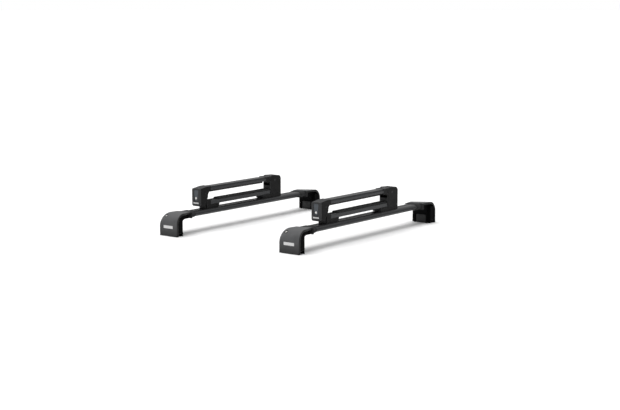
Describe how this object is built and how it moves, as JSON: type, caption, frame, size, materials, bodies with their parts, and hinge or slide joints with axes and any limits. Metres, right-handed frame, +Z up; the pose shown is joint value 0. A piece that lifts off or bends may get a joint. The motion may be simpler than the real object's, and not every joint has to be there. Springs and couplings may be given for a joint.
{
  "type": "roof ski rack",
  "caption": "Roof ski rack: aerofoil crossbars on rail-clamping feet, each carrying a hinged ski clamp with rubber-padded arms, push-button latch and key lock.",
  "frame": {"origin": "centre of the rack's footprint, at the height of the feet's lowest faces", "axes": "+X towards the front of the vehicle, +Y across the vehicle from the carriers' lock side to their hinge side, +Z up"},
  "size_m": [0.868, 1.15, 0.2223],
  "materials": {
    "black_aluminium": "black anodised extrusion, fine lengthwise grain",
    "foot_plastic": "black glass-filled nylon, coarse texture",
    "cover_plastic": "dark grey moulded plastic, fine texture, satin",
    "housing_plastic": "black moulded plastic, fine texture",
    "bezel_plastic": "dark grey moulded plastic, satin",
    "button_plastic": "blue-grey moulded plastic, satin",
    "rubber": "black rubber, matt",
    "lock_metal": "nickel-plated lock barrel",
    "zinc_steel": "bright zinc-plated steel",
    "black_steel": "steel with a satin black electro-coat"
  },
  "bodies": {
    "rack": {"front_crossbar": "black_aluminium", "front_slot_strip": "rubber", "front_near_foot_body": "foot_plastic", "front_far_foot_body": "foot_plastic", "front_base_rail": "black_aluminium", "front_base_pad": "rubber", "front_striker_block": "housing_plastic", "front_striker_pin": "zinc_steel", "front_hinge_base": "housing_plastic", "front_hinge_pin": "black_steel", "rear_crossbar": "black_aluminium", "rear_slot_strip": "rubber", "rear_near_foot_body": "foot_plastic", "rear_far_foot_body": "foot_plastic", "rear_base_rail": "black_aluminium", "rear_base_pad": "rubber", "rear_striker_block": "housing_plastic", "rear_striker_pin": "zinc_steel", "rear_hinge_base": "housing_plastic", "rear_hinge_pin": "black_steel", "rail_pads": "rubber", "carrier_bolts": "zinc_steel", "carrier_nuts": "zinc_steel"},
    "front_near_cover": {"front_near_foot_cover": "cover_plastic"},
    "front_near_lock": {"front_near_foot_lock": "lock_metal"},
    "front_near_jaw": {"front_near_rail_jaw": "black_steel"},
    "front_near_screw": {"front_near_clamp_screw": "black_steel"},
    "front_far_cover": {"front_far_foot_cover": "cover_plastic"},
    "front_far_lock": {"front_far_foot_lock": "lock_metal"},
    "front_far_jaw": {"front_far_rail_jaw": "black_steel"},
    "front_far_screw": {"front_far_clamp_screw": "black_steel"},
    "front_arm": {"front_arm_rail": "black_aluminium", "front_arm_pad": "rubber", "front_lock_housing": "housing_plastic", "front_cap_bezel": "bezel_plastic", "front_latch_pin": "black_steel", "front_hinge_knuckle": "housing_plastic", "front_button_spring": "zinc_steel"},
    "front_button": {"front_push_button": "button_plastic"},
    "front_key": {"front_key_barrel": "lock_metal"},
    "front_hook": {"front_latch_hook": "zinc_steel"},
    "rear_near_cover": {"rear_near_foot_cover": "cover_plastic"},
    "rear_near_lock": {"rear_near_foot_lock": "lock_metal"},
    "rear_near_jaw": {"rear_near_rail_jaw": "black_steel"},
    "rear_near_screw": {"rear_near_clamp_screw": "black_steel"},
    "rear_far_cover": {"rear_far_foot_cover": "cover_plastic"},
    "rear_far_lock": {"rear_far_foot_lock": "lock_metal"},
    "rear_far_jaw": {"rear_far_rail_jaw": "black_steel"},
    "rear_far_screw": {"rear_far_clamp_screw": "black_steel"},
    "rear_arm": {"rear_arm_rail": "black_aluminium", "rear_arm_pad": "rubber", "rear_lock_housing": "housing_plastic", "rear_cap_bezel": "bezel_plastic", "rear_latch_pin": "black_steel", "rear_hinge_knuckle": "housing_plastic", "rear_button_spring": "zinc_steel"},
    "rear_button": {"rear_push_button": "button_plastic"},
    "rear_key": {"rear_key_barrel": "lock_metal"},
    "rear_hook": {"rear_latch_hook": "zinc_steel"}
  },
  "joints": [
    {"name": "front_near_cover_pull", "type": "slide", "parent": "rack", "child": "front_near_cover", "axis": [0, -1, 0], "range_m": [0, 0.08]},
    {"name": "front_near_lock_turn", "type": "hinge", "parent": "front_near_cover", "child": "front_near_lock", "pos_m": [0.339, -0.548, 0.09495], "axis": [0, -0.5584, 0.8296], "range_deg": [0, 90]},
    {"name": "front_near_screw_turn", "type": "hinge", "parent": "rack", "child": "front_near_screw", "pos_m": [0.375, -0.545, 0.034], "axis": [0, -1, 0], "range_deg": [0, 2304.5]},
    {"name": "front_near_jaw_slide", "type": "slide", "parent": "rack", "child": "front_near_jaw", "axis": [0, 1, 0], "range_m": [0, 0.008]},
    {"name": "front_far_cover_pull", "type": "slide", "parent": "rack", "child": "front_far_cover", "axis": [0, 1, 0], "range_m": [0, 0.08]},
    {"name": "front_far_lock_turn", "type": "hinge", "parent": "front_far_cover", "child": "front_far_lock", "pos_m": [0.339, 0.548, 0.09495], "axis": [0, -0.5584, -0.8296], "range_deg": [0, 90]},
    {"name": "front_far_screw_turn", "type": "hinge", "parent": "rack", "child": "front_far_screw", "pos_m": [0.375, 0.545, 0.034], "axis": [0, 1, 0], "range_deg": [0, 2304.5]},
    {"name": "front_far_jaw_slide", "type": "slide", "parent": "rack", "child": "front_far_jaw", "axis": [0, -1, 0], "range_m": [0, 0.008]},
    {"name": "front_arm_hinge", "type": "hinge", "parent": "rack", "child": "front_arm", "pos_m": [0.375, 0.216, 0.197], "axis": [-1, 0, 0], "range_deg": [0, 95]},
    {"name": "front_button_press", "type": "slide", "parent": "front_arm", "child": "front_button", "axis": [0, 1, 0], "range_m": [0, 0.006], "stiffness_N_per_m": 600, "springref_m": -0.006, "deforming": ["front_button_spring"]},
    {"name": "front_key_turn", "type": "hinge", "parent": "front_button", "child": "front_key", "pos_m": [0.375, -0.373, 0.164], "axis": [0, 1, 0], "range_deg": [0, 90]},
    {"name": "front_hook_swing", "type": "hinge", "parent": "front_arm", "child": "front_hook", "pos_m": [0.375, -0.33, 0.186], "axis": [1, 0, 0], "range_deg": [0, 11]},
    {"name": "rear_near_cover_pull", "type": "slide", "parent": "rack", "child": "rear_near_cover", "axis": [0, -1, 0], "range_m": [0, 0.08]},
    {"name": "rear_near_lock_turn", "type": "hinge", "parent": "rear_near_cover", "child": "rear_near_lock", "pos_m": [-0.411, -0.548, 0.09495], "axis": [0, -0.5584, 0.8296], "range_deg": [0, 90]},
    {"name": "rear_near_screw_turn", "type": "hinge", "parent": "rack", "child": "rear_near_screw", "pos_m": [-0.375, -0.545, 0.034], "axis": [0, -1, 0], "range_deg": [0, 2304.5]},
    {"name": "rear_near_jaw_slide", "type": "slide", "parent": "rack", "child": "rear_near_jaw", "axis": [0, 1, 0], "range_m": [0, 0.008]},
    {"name": "rear_far_cover_pull", "type": "slide", "parent": "rack", "child": "rear_far_cover", "axis": [0, 1, 0], "range_m": [0, 0.08]},
    {"name": "rear_far_lock_turn", "type": "hinge", "parent": "rear_far_cover", "child": "rear_far_lock", "pos_m": [-0.411, 0.548, 0.09495], "axis": [0, -0.5584, -0.8296], "range_deg": [0, 90]},
    {"name": "rear_far_screw_turn", "type": "hinge", "parent": "rack", "child": "rear_far_screw", "pos_m": [-0.375, 0.545, 0.034], "axis": [0, 1, 0], "range_deg": [0, 2304.5]},
    {"name": "rear_far_jaw_slide", "type": "slide", "parent": "rack", "child": "rear_far_jaw", "axis": [0, -1, 0], "range_m": [0, 0.008]},
    {"name": "rear_arm_hinge", "type": "hinge", "parent": "rack", "child": "rear_arm", "pos_m": [-0.375, 0.216, 0.197], "axis": [-1, 0, 0], "range_deg": [0, 95]},
    {"name": "rear_button_press", "type": "slide", "parent": "rear_arm", "child": "rear_button", "axis": [0, 1, 0], "range_m": [0, 0.006], "stiffness_N_per_m": 600, "springref_m": -0.006, "deforming": ["rear_button_spring"]},
    {"name": "rear_key_turn", "type": "hinge", "parent": "rear_button", "child": "rear_key", "pos_m": [-0.375, -0.373, 0.164], "axis": [0, 1, 0], "range_deg": [0, 90]},
    {"name": "rear_hook_swing", "type": "hinge", "parent": "rear_arm", "child": "rear_hook", "pos_m": [-0.375, -0.33, 0.186], "axis": [1, 0, 0], "range_deg": [0, 11]}
  ],
  "couplings": [
    {"joint": "front_near_screw_turn", "follows": "front_near_jaw_slide", "rad_per_m": 5026.5},
    {"joint": "front_far_screw_turn", "follows": "front_far_jaw_slide", "rad_per_m": 5026.5},
    {"joint": "front_hook_swing", "follows": "front_button_press", "rad_per_m": 30.5},
    {"joint": "rear_near_screw_turn", "follows": "rear_near_jaw_slide", "rad_per_m": 5026.5},
    {"joint": "rear_far_screw_turn", "follows": "rear_far_jaw_slide", "rad_per_m": 5026.5},
    {"joint": "rear_hook_swing", "follows": "rear_button_press", "rad_per_m": 30.5}
  ]
}
